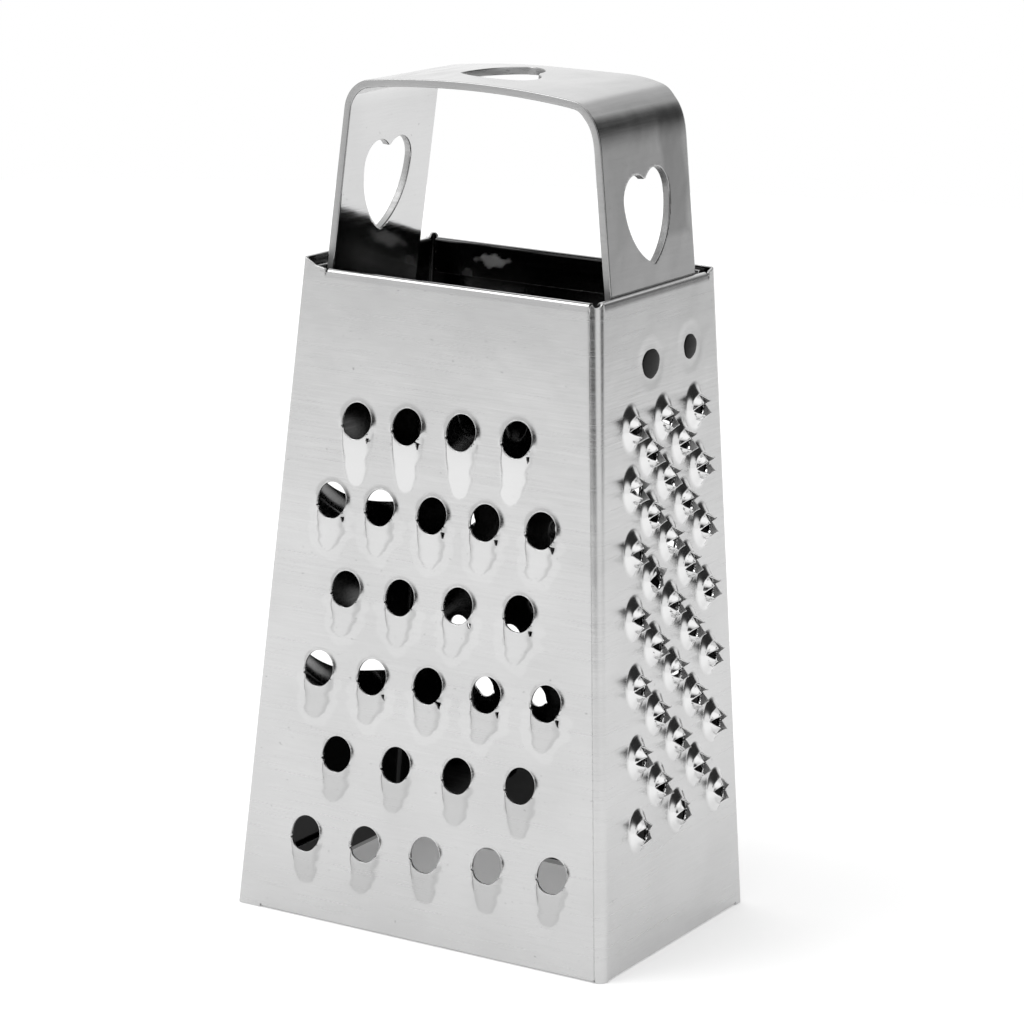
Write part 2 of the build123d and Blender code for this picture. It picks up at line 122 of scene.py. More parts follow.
@dataclass
class Band:
    """A folded sheet. w runs along it from the middle of its home wall, and b up its profile.

    home, hems, rises and tight count the walls in their order along w. A hem is its wall and the
    gaps at its left and right. A rise is the bend after its wall, with places and heights of the
    raw edge, and a tight bend has the smaller radius. ends are the shares of the first and last
    wall where the grid starts and stops. reliefs goes by the wall's number. A rub is a patch of
    painted highlight on the sheet: w, b, half width, half height and level.
    """

    walls: tuple
    home: int
    inset: float
    ends: tuple
    hems: tuple
    rises: tuple
    reliefs: dict
    tight: tuple = ()
    painted_highlight_patches: tuple = ()

    def flats(self, z):
        """Where each wall's flat starts along w, and half its length, at heights z."""
        halves = [half_span(wall, z) - CORNER for wall in self.walls]
        starts = [None] * len(self.walls)
        starts[self.home] = -halves[self.home]
        for i in range(self.home + 1, len(self.walls)):
            starts[i] = starts[i - 1] + 2 * halves[i - 1] + ARC
        for i in range(self.home - 1, -1, -1):
            starts[i] = starts[i + 1] - ARC - 2 * halves[i]
        return starts, halves

    def grid(self, spacing):
        """The band's points as a grid: w, b and whether its hem is rolled there."""
        columns = []
        for i, wall in enumerate(self.walls):
            flat = 2 * (half_span(wall, HEM_HIGH / 2) - CORNER)
            shares = list(np.linspace(0, 1, int(flat / spacing) + 1))
            for hem_wall, left_gap, right_gap in self.hems:
                if hem_wall == i:
                    for z in (HEM_LOW, HEM_HIGH):
                        half = half_span(wall, z)
                        for u in (left_gap - half, half - right_gap):
                            shares.append(0.5 + u / (2 * (half - CORNER)))
            shares = np.array(sorted(set(np.round(shares, 6))))
            if i == 0:
                shares = shares[shares >= self.ends[0]]
            if i == len(self.walls) - 1:
                shares = shares[shares <= self.ends[1]]
            columns += [(i, share, 0.0) for share in shares]
            if i < len(self.walls) - 1:
                columns += [(i, 1.0, ARC * k / BEND_STEPS) for k in range(1, BEND_STEPS)]
        past = [HEM_TURN * k / BEND_STEPS for k in range(1, BEND_STEPS + 1)]
        leg = HEM_LEG + HEM_OVERRUN
        past += [HEM_TURN + leg * k / LEG_STEPS for k in range(1, LEG_STEPS + 1)]
        past = np.array(past)
        main = np.linspace(HEM_LOW, HEM_HIGH, int(BODY_HEIGHT / spacing))
        rows = np.concatenate([HEM_LOW - past[::-1], main, HEM_HIGH + past])
        b = np.repeat(rows[:, None], len(columns), axis=1)
        w = np.zeros_like(b)
        rolled = np.zeros(b.shape, bool)
        for col, (i, share, along) in enumerate(columns):
            for upper in (False, True):
                rows_here = (rows > BODY_HEIGHT / 2) == upper
                edge = HEM_HIGH if upper else HEM_LOW
                starts, halves = self.flats(np.array([edge]))
                at = starts[i][0] + 2 * halves[i][0] * share + along
                roll = any(low - 1e-4 <= at <= high + 1e-4 for low, high in self.hem_spans(edge))
                rolled[rows_here, col] = roll
                level = np.clip(rows[rows_here], HEM_LOW, HEM_HIGH) if roll else rows[rows_here]
                starts, halves = self.flats(level)
                w[rows_here, col] = starts[i] + 2 * halves[i] * share + along
        return w, b, rolled

    def hem_spans(self, z):
        """Where each hem starts and ends along w at its own height."""
        starts, halves = self.flats(np.array([float(z)]))
        spans = []
        for i, left_gap, right_gap in self.hems:
            low = starts[i][0] - CORNER + left_gap
            high = starts[i][0] + 2 * halves[i][0] + CORNER - right_gap
            spans.append((low, high))
        return spans

    def corner(self, i, z):
        """Where the middle of the bend after wall i lies along w."""
        starts, halves = self.flats(z)
        return starts[i] + 2 * halves[i] + ARC / 2

    def room(self, w, b, rolled):
        """How far a point lies inside the sheet's outline, which is less than zero outside it."""
        level = np.where(rolled, np.clip(b, HEM_LOW, HEM_HIGH), b)
        starts, halves = self.flats(level)
        first_end = starts[0] + (2 * halves[0] + CORNER - LAP if self.home else FREE_END - CORNER)
        last_end = starts[-1] + (LAP - CORNER if self.home else 2 * halves[-1] + CORNER - FREE_END)
        room = np.minimum(w - first_end, last_end - w)
        reach = HEM_TURN + HEM_LEG
        top_edge = np.where(rolled, HEM_HIGH + reach, BODY_HEIGHT)
        low_edge = np.where(rolled, HEM_LOW - reach, 0.0)
        for i, places, heights in self.rises:
            middle = self.corner(i, level)
            near = (w - middle > places[0]) & (w - middle < places[-1]) & ~rolled
            top_edge = np.where(near, BODY_HEIGHT + np.interp(w - middle, places, heights), top_edge)
        room = np.minimum(room, np.minimum(top_edge - b, b - low_edge))
        for edge, side in ((HEM_HIGH, 1), (HEM_LOW, -1)):
            for span in self.hem_spans(edge):
                for end in span:
                    slit = np.hypot(w - end, np.minimum(side * (b - edge) - 0.1, 0)) - SLIT
                    room = np.minimum(room, slit)
        for i, wall in enumerate(self.walls):
            u = w - starts[i] - halves[i]
            flat = np.abs(u) <= halves[i] + ARC / 2
            if wall in self.reliefs:
                room = np.where(flat, np.minimum(room, self.reliefs[wall].room(u, b)), room)
        return room

    def on_flats(self, w, b, value, act):
        """The value, or on the flat walls what their reliefs say."""
        starts, halves = self.flats(b)
        for i, wall in enumerate(self.walls):
            u = w - starts[i] - halves[i]
            if wall in self.reliefs:
                flat = (np.abs(u) <= halves[i]) & (b > HEM_LOW) & (b < HEM_HIGH)
                value = np.where(flat, act(self.reliefs[wall])(u, b), value)
        return value

    def relief(self, w, b):
        """How far the sheet is raised at each point."""
        return self.on_flats(w, b, np.zeros_like(w), lambda relief: relief.rise)

    def polish_and_painted_light(self, w, b):
        """How far the sheet is lightened at each point: forming polish with painted highlight on the reliefs,
        painted shade where below zero, and painted highlight on the listed patches.
        """
        polish_and_painted_light = np.zeros_like(w)
        # Each listed patch is painted highlight with a ragged edge.
        for at_w, at_b, wide, tall, level in self.painted_highlight_patches:
            out = np.hypot((w - at_w) / wide, (b - at_b) / tall)
            ragged = 0.16 * np.sin(w * 4.1 + b * 2.3) + 0.14 * np.sin(w * 1.9 - b * 5.3)
            polish_and_painted_light = np.maximum(polish_and_painted_light, level * np.clip((1 - out + ragged) / 0.3, 0, 1))
        return self.on_flats(w, b, polish_and_painted_light, lambda relief: relief.polish_and_painted_light)

    def place(self, w, b, rolled, lift):
        """Points on the sheet, lifted along its normal."""
        z, way_in, outward, upward = hem_profile(b, rolled)
        level = np.where(rolled, np.clip(b, HEM_LOW, HEM_HIGH), b)
        starts, halves = self.flats(level)
        points = np.zeros(w.shape + (3,))
        way_in = way_in + self.inset
        for i, wall in enumerate(self.walls):
            u = w - starts[i] - halves[i]
            lean = LEAN[wall % 2]
            out = half_span(wall + 1, z) - way_in
            out = out + lift * (outward * math.cos(lean) - upward * math.sin(lean))
            up = z + lift * (outward * math.sin(lean) + upward * math.cos(lean))
            here = turned_about_z((u, -out, up), wall)
            after = (u >= -halves[i] - 1e-6) if i else np.ones(u.shape, bool)
            before = (u <= halves[i] + 1e-6) if i < len(self.walls) - 1 else np.ones(u.shape, bool)
            mine = after & before
            points[mine] = here[mine]
            if i < len(self.walls) - 1:
                bent = (u > halves[i]) & (u < halves[i] + ARC)
                bend = TIGHT_CORNER if i in self.tight else CORNER
                run = (u - halves[i]) / ARC * (2 * (CORNER - bend) + bend * math.pi / 2)
                before = np.clip(run, 0, CORNER - bend)
                angle = np.clip((run - (CORNER - bend)) / bend, 0, math.pi / 2)
                after = np.clip(run - (CORNER - bend) - bend * math.pi / 2, 0, None)
                radius = bend - way_in + lift * math.cos(lean)
                x = halves[i] + before + radius * np.sin(angle)
                y = -(half_span(wall + 1, z) - bend) + after - radius * np.cos(angle)
                here = turned_about_z((x, y, z + lift * math.sin(lean)), wall)
                points[bent] = here[bent]
        points[:, 2] = np.maximum(points[:, 2], 0)
        return points


class Relief:
    """The pressed forms of one wall: how far they raise the sheet, cut it and leave it lighter, partly polish
    and partly painted highlight, or darker below zero, painted shade.
    """

    def __init__(self, forms):
        self.forms = forms

    def over(self, u, z, start, merge, act):
        value = np.full_like(u, start)
        for form, at_u, at_z in self.forms:
            near = (np.abs(u - at_u) < form.reach) & (np.abs(z - at_z) < form.reach)
            if near.any():
                value[near] = merge(value[near], act(form)(u[near] - at_u, z[near] - at_z))
        return value

    def rise(self, u, z):
        return self.over(u, z, 0.0, np.add, lambda form: form.rise)

    def room(self, u, z):
        return self.over(u, z, FAR, np.minimum, lambda form: form.room)

    def polish_and_painted_light(self, u, z):
        def stronger(one, two):
            return np.where(np.abs(one) > np.abs(two), one, two)

        return self.over(u, z, 0.0, stronger, lambda form: form.polish_and_painted_light)


@dataclass
class Scoop:
    """A round hole with the sheet below it raised to a hood that runs out in a pointed tail.

    The tail is lighter where its level is above zero, partly forming polish and partly painted
    highlight, and darker where it is below zero, painted shade. Its creased edges are darkened as
    painted shade, and a slightly lighter halo may lie round it. A split is the half width of a small
    tear to the right of the hole.
    """

    radius: float
    lip: float
    length: float
    sway: float = 0.0
    halo: float = 0.0
    polish_and_paint_level: float = 0.5
    split: float = 0.0

    # Shares of the radius: how far down the hood starts, half of its width, and the split's place
    # to the right and down
    START = 0.42
    SIDE = 0.9
    SPLIT_PLACE = (0.77, 0.78)
    # The split's length
    SPLIT_LENGTH = 0.8
    # Profiles down the tail: its width, and the height of the hood against the lip
    WIDTH = ((0, 0.3, 0.55, 0.8, 0.93, 1.0), (1.0, 0.95, 0.85, 0.67, 0.44, 0.05))
    HOOD = ((-0.05, 0, 0.2, 0.45, 0.7, 0.9, 1.02), (0.8, 0.9, 0.85, 0.45, 0.22, 0.07, 0))
    # The height of the rim round the hole, from the hood's start up
    COLLAR = ((-0.42, 0, 0.5, 0.9), (0.6, 0.36, 0.16, 0.05))

    def __post_init__(self):
        self.reach = self.length + self.radius + 1.2
        self.start = -self.START * self.radius
        self.side = self.SIDE * self.radius + 0.06

    def tail(self, u, z):
        """How far down the tail a point lies, from 0 to 1, and how far out from its middle."""
        share = (self.start - z) / self.length
        bent = np.abs(u - self.sway * ease(share) * (1 + 0.5 * np.sin(share * 9.0)))
        return share, bent, np.interp(share, *self.WIDTH) * self.side

    def from_rim(self, u, z):
        return np.hypot(u * 1.1, z) - self.radius

    def rise(self, u, z):
        share, bent, wide = self.tail(u, z)
        side = 1 - ease((bent / np.maximum(wide, 0.05) - 0.78) / 0.3)
        hood = self.lip * np.interp(share, *self.HOOD) * side
        out = np.maximum(self.from_rim(u, z), 0)
        tall = np.interp(z / self.radius, *self.COLLAR) * self.lip
        return np.where(z < self.start, hood, tall * np.exp(-((out / 0.3) ** 2)))

    def room(self, u, z):
        mouth = self.SIDE * self.radius * math.sqrt(1 - self.START**2)
        along = np.clip(-u, mouth - 0.2, self.side + 0.15)
        tear = np.hypot(-u - along, z - self.start) - 0.1
        across, drop = self.SPLIT_PLACE
        down = -drop * self.radius - z
        split = np.abs(u - across * self.radius) - self.split * (1 - down / self.SPLIT_LENGTH)
        gap = np.where((down > 0) & (down < self.SPLIT_LENGTH) & (self.split > 0), split, FAR)
        return np.minimum(np.minimum(self.from_rim(u, z), tear), gap)

    def polish_and_painted_light(self, u, z):
        share, bent, wide = self.tail(u, z)
        waves = 0.06 * np.sin(share * 21 + self.sway * 9) + 0.08 * np.sin(share * 8 + self.sway * 30)
        wide = wide * (1 + waves)
        under = np.maximum(share - 0.98, 0) * self.length
        inside = np.clip((wide - bent) / 0.16 + 0.5, 0, 1) * np.clip((1.0 - share) / 0.03, 0, 1)
        # Painted shade: the creased edges of each tail are darkened, and tails whose level is below zero grow
        # darker still down their length.
        flat = 0.82 if self.polish_and_paint_level > 0.5 else 0.5
        creased = ease((bent / np.maximum(wide, 0.05) - flat) / (1 - flat))
        middle = self.polish_and_paint_level * (0.4 + 0.6 * ease(share / 0.4))
        if self.polish_and_paint_level < 0.5:
            middle = middle - 0.1 * share
        inside = inside * np.clip(share / 0.04, 0, 1) * (middle * (1 - creased) - 0.45 * creased)
        gap = np.hypot(np.maximum(bent - wide, 0), under)
        edge = self.halo * (1.0 + 0.2 * np.sin(u * 2.3 + self.sway * 20) + 0.15 * np.sin(z * 3.1))
        beyond = 0.0
        if self.halo:
            beyond = 0.15 * np.clip((edge - gap) / 0.15 + 0.5, 0, 1) * np.clip(share / 0.06, 0, 1)
        return np.where(np.abs(inside) > 0.02, inside, beyond)


@dataclass
class Mound:
    """A pierced dome pushed out of the sheet, with its reaches to the left, right, up and down."""

    reaches: tuple
    height: float
    hole: float

    def __post_init__(self):
        self.reach = max(self.reaches) + 0.3

    def share(self, u, z):
        left, right, up, down = self.reaches
        out = np.hypot(u, z)
        angle = np.arctan2(z, np.abs(u))
        side = np.where(u < 0, left, right)
        tall = np.where(z > 0, up, down)
        edge = 1 / np.sqrt((np.cos(angle) / side) ** 2 + (np.sin(angle) / tall) ** 2)
        return np.clip((edge - out) / (edge - self.hole), 0, 1.2)

    def rise(self, u, z):
        share = self.share(u, z)
        return self.height * (0.4 * ease(share) + 0.6 * share**1.3)

    def room(self, u, z):
        return np.hypot(u, z) - self.hole

    def polish_and_painted_light(self, u, z):
        # Lighter over most of the mound: partly forming polish, partly painted highlight.
        return ease(self.share(u, z) / 0.35)


@dataclass
class Dent:
    """A shallow round dent with a flat floor."""

    floor: float
    radius: float
    depth: float

    def __post_init__(self):
        self.reach = self.radius + 0.3

    def rise(self, u, z):
        return -self.depth * ease((self.radius - np.hypot(u, z)) / (self.radius - self.floor))

    def room(self, u, z):
        return np.full_like(u, FAR)

    def polish_and_painted_light(self, u, z):
        return np.zeros_like(u)


class Slot:
    """A slanted slicing slot, with its lower edge raised to a bowed blade."""

    LENGTH = 18.6
    SLANT = 7.8
    SAG = 1.5
    LIFT = 1.5
    RAMP = 2.8
    GAPE = 2.4
    reach = LENGTH / 2 + 4.5

    def edge(self, place):
        return place * self.SLANT / 2 + place**2 * self.SAG

    def rise(self, u, z):
        place = 2 * u / self.LENGTH
        below = self.edge(place) - z
        lift = self.LIFT * np.sqrt(np.clip(1 - place**2, 0, 1))
        ramp = np.clip(1 - below / self.RAMP, 0, 1)
        return np.where(below > -0.3, lift * (0.35 * ramp + 0.65 * ease(ramp)), 0)

    def room(self, u, z):
        place = np.clip(2 * u / self.LENGTH, -1, 1)
        above = z - self.edge(place)
        steep = math.hypot(1, self.SLANT / self.LENGTH)
        ends = np.abs(u) - self.LENGTH / 2
        return np.maximum(np.maximum(-above, above - self.GAPE) / steep, ends)

    def polish_and_painted_light(self, u, z):
        # Lighter on the raised blade: partly forming polish, partly painted highlight.
        return ease(self.rise(u, z) / 0.3)


def shell(name, w, b, rolled, room, place, skin, rim, polish_and_painted_light, edge_kind=0):
    """A closed sheet with rounded rims over the part of a grid where there is room.

    Material 1 lies inside and on the turned part of the hems, and edge_kind round the cut edge.
    """
    rows, cols = w.shape
    space = room(w, b, rolled) - rim
    inside = space > 0
    number = np.full(w.shape, -1)
    number[inside] = np.arange(inside.sum())
    flat_w, flat_b, flat_r = list(w[inside]), list(b[inside]), list(rolled[inside])
    corners = np.stack([inside[:-1, :-1], inside[:-1, 1:], inside[1:, 1:], inside[1:, :-1]], axis=-1)
    full = corners.all(axis=-1)
    r, c = np.nonzero(full)
    faces = np.stack([number[r, c], number[r, c + 1], number[r + 1, c + 1], number[r + 1, c]], axis=-1)
    faces = faces.tolist()
    crossings = {}
    edges = []

    def crossing(one, two):
        key = (one, two)
        if key not in crossings:
            share = space[one] / (space[one] - space[two])
            crossings[key] = len(flat_w)
            flat_w.append(w[one] + share * (w[two] - w[one]))
            flat_b.append(b[one] + share * (b[two] - b[one]))
            flat_r.append(rolled[one])
        return crossings[key]

    for r, c in zip(*np.nonzero(corners.any(axis=-1) & ~full)):
        ring = [(r, c), (r, c + 1), (r + 1, c + 1), (r + 1, c)]
        loop = []
        for one, two in zip(ring, ring[1:] + ring[:1]):
            if inside[one]:
                loop.append((number[one], 0))
            if inside[one] and not inside[two]:
                loop.append((crossing(one, two), 1))
            elif inside[two] and not inside[one]:
                loop.append((crossing(two, one), 2))
        for one, two in zip(loop, loop[1:] + loop[:1]):
            if one[1] == 1 and two[1] == 2:
                edges.append((one[0], two[0]))
        faces.append([int(v[0]) for v in loop])
    first_crossing = int(inside.sum())
    flat_w, flat_b, flat_r = np.array(flat_w), np.array(flat_b), np.array(flat_r, bool)
    rim_w, rim_b, rim_r = flat_w[first_crossing:], flat_b[first_crossing:], flat_r[first_crossing:]
    step = 0.02
    slope_w = room(rim_w + step, rim_b, rim_r) - room(rim_w - step, rim_b, rim_r)
    slope_b = room(rim_w, rim_b + step, rim_r) - room(rim_w, rim_b - step, rim_r)
    length = np.maximum(np.hypot(slope_w, slope_b), 1e-9)
    away_w, away_b = -slope_w / length, -slope_b / length
    layers = [place(flat_w, flat_b, flat_r, 0.0), place(flat_w, flat_b, flat_r, -skin)]
    count = len(flat_w)
    rings = [np.arange(first_crossing, count)]
    profile = [(math.sin(k * math.pi / 6), 1 - math.cos(k * math.pi / 6)) for k in (1, 2, 3)]
    steps = [(out * rim, -down * rim) for out, down in profile]
    steps += [(out * rim, down * rim - skin) for out, down in reversed(profile)]
    total = 2 * count
    for out, lift in steps:
        layers.append(place(rim_w, rim_b, rim_r, lift, away_w * out, away_b * out))
        rings.append(np.arange(total, total + len(rim_w)))
        total += len(rim_w)
    rings.append(np.arange(first_crossing, count) + count)
    every = faces + [[v + count for v in reversed(face)] for face in faces]
    past_hem = np.maximum(flat_b - HEM_HIGH, HEM_LOW - flat_b - 0.65 * HEM_TURN)
    turned_in = flat_r & (past_hem > 0.6 * HEM_TURN)
    # Material 1 goes inside and on the turned-in hems: on the body a near-black copy of the steel, painted
    # shade, and on the strap a lighter copy, painted light.
    kinds = [int(turned_in[face[0]]) for face in faces] + [1] * len(faces)
    for ring, (upper, lower) in enumerate(zip(rings[:-1], rings[1:])):
        for one, two in edges:
            k, m = one - first_crossing, two - first_crossing
            every.append([int(upper[m]), int(upper[k]), int(lower[k]), int(lower[m])])
            kinds.append(edge_kind if ring == 3 else 0)
    outer = polish_and_painted_light(flat_w, flat_b)
    polish_and_paint_level = np.concatenate([outer, np.zeros(count), np.tile(outer[first_crossing:], len(steps))])
    return mesh_object(name, np.concatenate(layers), every, kinds, polish_and_paint_level)


def linked_object(name, data):
    """A new object that the scene shows."""
    obj = bpy.data.objects.new(name, data)
    bpy.context.scene.collection.objects.link(obj)
    return obj


def mesh_object(name, points, faces, kinds=None, polish_and_paint_level=None):
    """A smooth-shaded object from points in millimetres."""
    mesh = bpy.data.meshes.new(name)
    mesh.from_pydata((np.asarray(points) * MM).tolist(), [], faces)
    mesh.polygons.foreach_set("use_smooth", np.ones(len(mesh.polygons), bool))
    if kinds is not None:
        mesh.polygons.foreach_set("material_index", kinds)
    if polish_and_paint_level is not None:
        polish_and_painted_light = mesh.attributes.new("polish_and_painted_light", "FLOAT", "POINT")
        polish_and_painted_light.data.foreach_set("value", np.asarray(polish_and_paint_level, np.float32))
    mesh.validate()
    return linked_object(name, mesh)


# The medium scoops of the back wall, in rows that fan out towards the base
BACK_ROW_COUNTS = (5, 4, 5, 4, 5, 4, 5, 4)
BACK_FIRST_ROW = 12.6
BACK_ROW_PITCH = 6.4
BACK_PITCHES = (6.8, 5.9)
SLOT_HEIGHTS = (22.4, 41.8)
SLOT_SHIFT = -1.0

# The star burrs, with the pitches and the shift at the lowest rows and at the highest
BURR_ROWS = 13
BURR_FIRST_ROW = 13.9
BURR_ROW_PITCHES = (3.87, 3.05)
BURR_PITCHES = (4.3, 3.43)
BURR_SHIFTS = (1.3, 0.46)


def between(ends, share):
    """The value at a share of the way between two."""
    return ends[0] + (ends[1] - ends[0]) * share


def medium_places():
    """Places of the back wall's scoops, as u and height."""
    places = []
    for row, count in enumerate(BACK_ROW_COUNTS):
        pitch = between(BACK_PITCHES, row / (len(BACK_ROW_COUNTS) - 1))
        for k in range(count):
            places.append(((k - (count - 1) / 2) * pitch, BACK_FIRST_ROW + row * BACK_ROW_PITCH))
    return places


def burr_places():
    """Places of the star burrs in staggered half rows, as u and height."""
    places = []
    height = BURR_FIRST_ROW
    for row in range(BURR_ROWS):
        share = row / (BURR_ROWS - 1)
        pitch = between(BURR_PITCHES, share)
        shift = between(BURR_SHIFTS, share)
        places += [(shift + column * pitch, height) for column in ((-1, 1) if row % 2 else (-2, 0, 2))]
        height += between(BURR_ROW_PITCHES, row / (BURR_ROWS - 2))
    return places


# The front scoops' places, row by row from the base: punched rows that rise a little to the right
SCOOPS = (
    ((-13.97, 9.17), (-6.64, 9.37), (0.67, 9.59), (8.1, 9.86), (15.72, 10.29)),
    ((-10.56, 18.37), (-3.33, 18.49), (4.02, 18.65), (11.46, 18.95)),
    ((-13.22, 27.15), (-6.71, 27.28), (0.05, 27.47), (6.94, 27.7), (13.94, 27.96)),
    ((-10.34, 36.03), (-3.79, 36.12), (3.13, 36.37), (10.28, 36.68)),
    ((-12.51, 45.1), (-6.68, 45.11), (-0.45, 45.19), (5.8, 45.38), (12.3, 45.52)),
    ((-9.9, 53.73), (-3.9, 53.91), (2.48, 54.16), (8.99, 54.33)),
)
SCOOP_RADIUS = 1.88
SCOOP_LIP = 0.62
LONG_SCOOP = 6.1
# The tails' levels by row from the base: below zero painted shade, above zero forming polish with painted
# highlight.
SCOOP_TAIL_POLISH_AND_SHADE = (-0.2, -0.15, -0.05, 0.2, 0.3, 0.51)
HALO_ROWS = (2, 3, 4)
BENT_BURR = 18

dent = Dent(1.8, 3.0, 0.02)
front_forms = []
for row, places in enumerate(SCOOPS):
    for u, z in places:
        length = LONG_SCOOP if row == len(SCOOPS) - 1 else rng.uniform(4.4, 4.9)
        halo = 1.1 if row in HALO_ROWS else 0.0
        split = rng.uniform(0.1, 0.17) if row > 1 and rng.random() < 0.75 else 0.0
        sway = rng.uniform(-0.5, 0.1)
        scoop = Scoop(SCOOP_RADIUS, SCOOP_LIP, length, sway, halo, SCOOP_TAIL_POLISH_AND_SHADE[row], split)
        front_forms.append((scoop, u + 0.08, z + 0.04))
MOUND = Mound((2.1, 1.9, 2.6, 2.4), 0.55, 1.35)
right_forms = [(MOUND, u, z) for u, z in burr_places()]
right_forms += [(dent, u, z) for u, z in HANDLE_WELDS]
back_forms = []
for u, z in medium_places():
    back_forms.append((Scoop(1.3, 0.66, 3.1, rng.uniform(-0.2, 0.2)), u, z))
left_forms = [(Slot(), SLOT_SHIFT, z) for z in SLOT_HEIGHTS]
left_forms += [(dent, -u, z) for u, z in HANDLE_WELDS]

front_right = Band(
    walls=(3, 0, 1, 2),
    home=1,
    inset=0.0,
    ends=(0.82, 0.13),
    hems=((1, 2.9, 1.0), (2, 1.4, 1.5)),
    rises=(
        (0, (-6.0, 0.0, 1.2, 2.65), (1.0, 1.0, 0.25, 0.0)),
        (1, (-0.7, -0.45, -0.2, 0.2, 0.5, 0.8), (0.0, -0.1, -0.38, -0.42, -0.3, 0.0)),
        (2, (-1.24, 0.0, 6.0), (0.0, 0.4, 0.4)),
    ),
    reliefs={0: Relief(front_forms), 1: Relief(right_forms)},
    tight=(0, 2),
)
back_left = Band(
    walls=(2, 3),
    home=0,
    inset=SHEET,
    ends=(0.0, 1.0),
    hems=((0, 1.3, 1.35), (1, 1.75, 1.3)),
    rises=((0, (-1.1, -0.6, 0.0, 0.2, 0.65, 1.15), (0.0, 0.4, 0.4, 0.4, -0.15, 0.0)),),
    reliefs={2: Relief(back_forms), 3: Relief(left_forms)},
    # Painted highlight on the inner leg of the back wall's top hem.
    painted_highlight_patches=((8.7, 71.2, 2.1, 0.75, 1.0), (11.9, 73.05, 0.75, 0.9, 0.35)),
)


def folded_sheet(name, band, spacing):
    """The closed mesh of one folded half."""
    w, b, rolled = band.grid(spacing)

    def place(w, b, rolled, lift, dw=0.0, db=0.0):
        return band.place(w + dw, b + db, rolled, band.relief(w, b) + lift)

    return shell(name, w, b, rolled, band.room, place, SKIN, RIM, band.polish_and_painted_light)


# The strap's path: x and height along its outer face, from its left foot over to its right foot
STRAP_WIDTH = 17.4
STRAP_THICKNESS = 0.8
STRAP_OFFSET = -0.35
STRAP_TOP = 88.9
STRAP_CAMBER = 1.1
STRAP_SHOULDER = 14.65
STRAP_BEND = 3.3
STRAP_FOOT = 57.6
STRAP_LOOSE_BEND = 2.4
GRID_MARGIN = 0.2
STRAP_EDGE = 0.1

# Its hearts. The one in the top is turned about its middle, wide across the strap and short along it
HEART = (9.2, 9.5)
LEFT_HEART_HEIGHT = 76.4
RIGHT_HEART_HEIGHT = 75.8
RIGHT_HEART_TILT = 6
TOP_HEART_ALONG = -1.95
TOP_HEART_ACROSS = 1.1
TOP_HEART_SWING = 25
TOP_HEART_STRETCH = (1.2, 0.885)
TOP_HEART_FILL = 2.3


def strap_reach(z, inset):
    return half_span(0, z) - (inset + 2 * HEM + 0.02) / math.cos(LEAN[1])


def arc_points(centre, radius, angles):
    return [centre + radius * np.array([math.cos(angle), math.sin(angle)]) for angle in angles]


def length_run(points):
    steps = np.linalg.norm(np.diff(points, axis=0), axis=1)
    return np.concatenate([[0], np.cumsum(steps)])


def strap_path():
    """Points and normals along the strap's outer face, with the length run at each.

    The right shoulder is bent more loosely than the left one.
    """
    crown = (STRAP_SHOULDER**2 + STRAP_CAMBER**2) / (2 * STRAP_CAMBER)
    middle = np.array([0.0, STRAP_TOP - crown])
    sides = []
    for side, inset in ((-1, SHEET), (1, 0.0)):
        foot = np.array([side * strap_reach(STRAP_FOOT, inset), STRAP_FOOT])
        knee = np.array([side * strap_reach(BODY_HEIGHT, inset), BODY_HEIGHT])
        shoulder = np.array([side * STRAP_SHOULDER, STRAP_TOP - STRAP_CAMBER])
        along = (shoulder - knee) / np.linalg.norm(shoulder - knee)
        inward = np.array([-side * along[1], side * along[0]])
        base = knee + inward * STRAP_BEND - middle
        half = base @ along
        run = -half + math.sqrt(half * half - base @ base + (crown - STRAP_BEND) ** 2)
        centre = knee + along * run + inward * STRAP_BEND
        meet = middle + (centre - middle) / np.linalg.norm(centre - middle) * crown
        points = [foot + (knee - foot) * k / 45 for k in range(45)]
        points += [knee + along * run * k / 64 for k in range(64)]
        first = math.atan2(-inward[1], -inward[0])
        last = math.atan2(*(meet - centre)[::-1])
        if side < 0 and first < 0:
            first += 2 * math.pi
        points += arc_points(centre, STRAP_BEND, first + (last - first) * np.arange(25) / 24)
        sides.append(points)
    start = math.atan2(*(sides[0][-1] - middle)[::-1])
    stop = math.atan2(*(sides[1][-1] - middle)[::-1])
    arch = arc_points(middle, crown, start + (stop - start) * np.arange(1, 90) / 90)
    points = np.array(sides[0] + arch + sides[1][::-1])
    run = length_run(points)
    offsets = np.linspace(-STRAP_LOOSE_BEND, STRAP_LOOSE_BEND, 13)
    eased = [np.stack([np.interp(run + d, run, points[:, k]) for k in (0, 1)], axis=1) for d in offsets]
    shoulder = np.where(points[:, 0] > 0, ease((STRAP_TOP - 0.3 - points[:, 1]) / 1.5), 0)
    shoulder = shoulder * ease((points[:, 1] - BODY_HEIGHT - 4) / 4)
    points = points + (np.mean(eased, axis=0) - points) * shoulder[:, None]
    run = length_run(points)
    slope = np.gradient(points, run, axis=0)
    slope /= np.linalg.norm(slope, axis=1)[:, None]
    normals = np.stack([-slope[:, 1], slope[:, 0]], axis=1)
    return points, normals, run


strap_points, strap_normals, strap_run = strap_path()


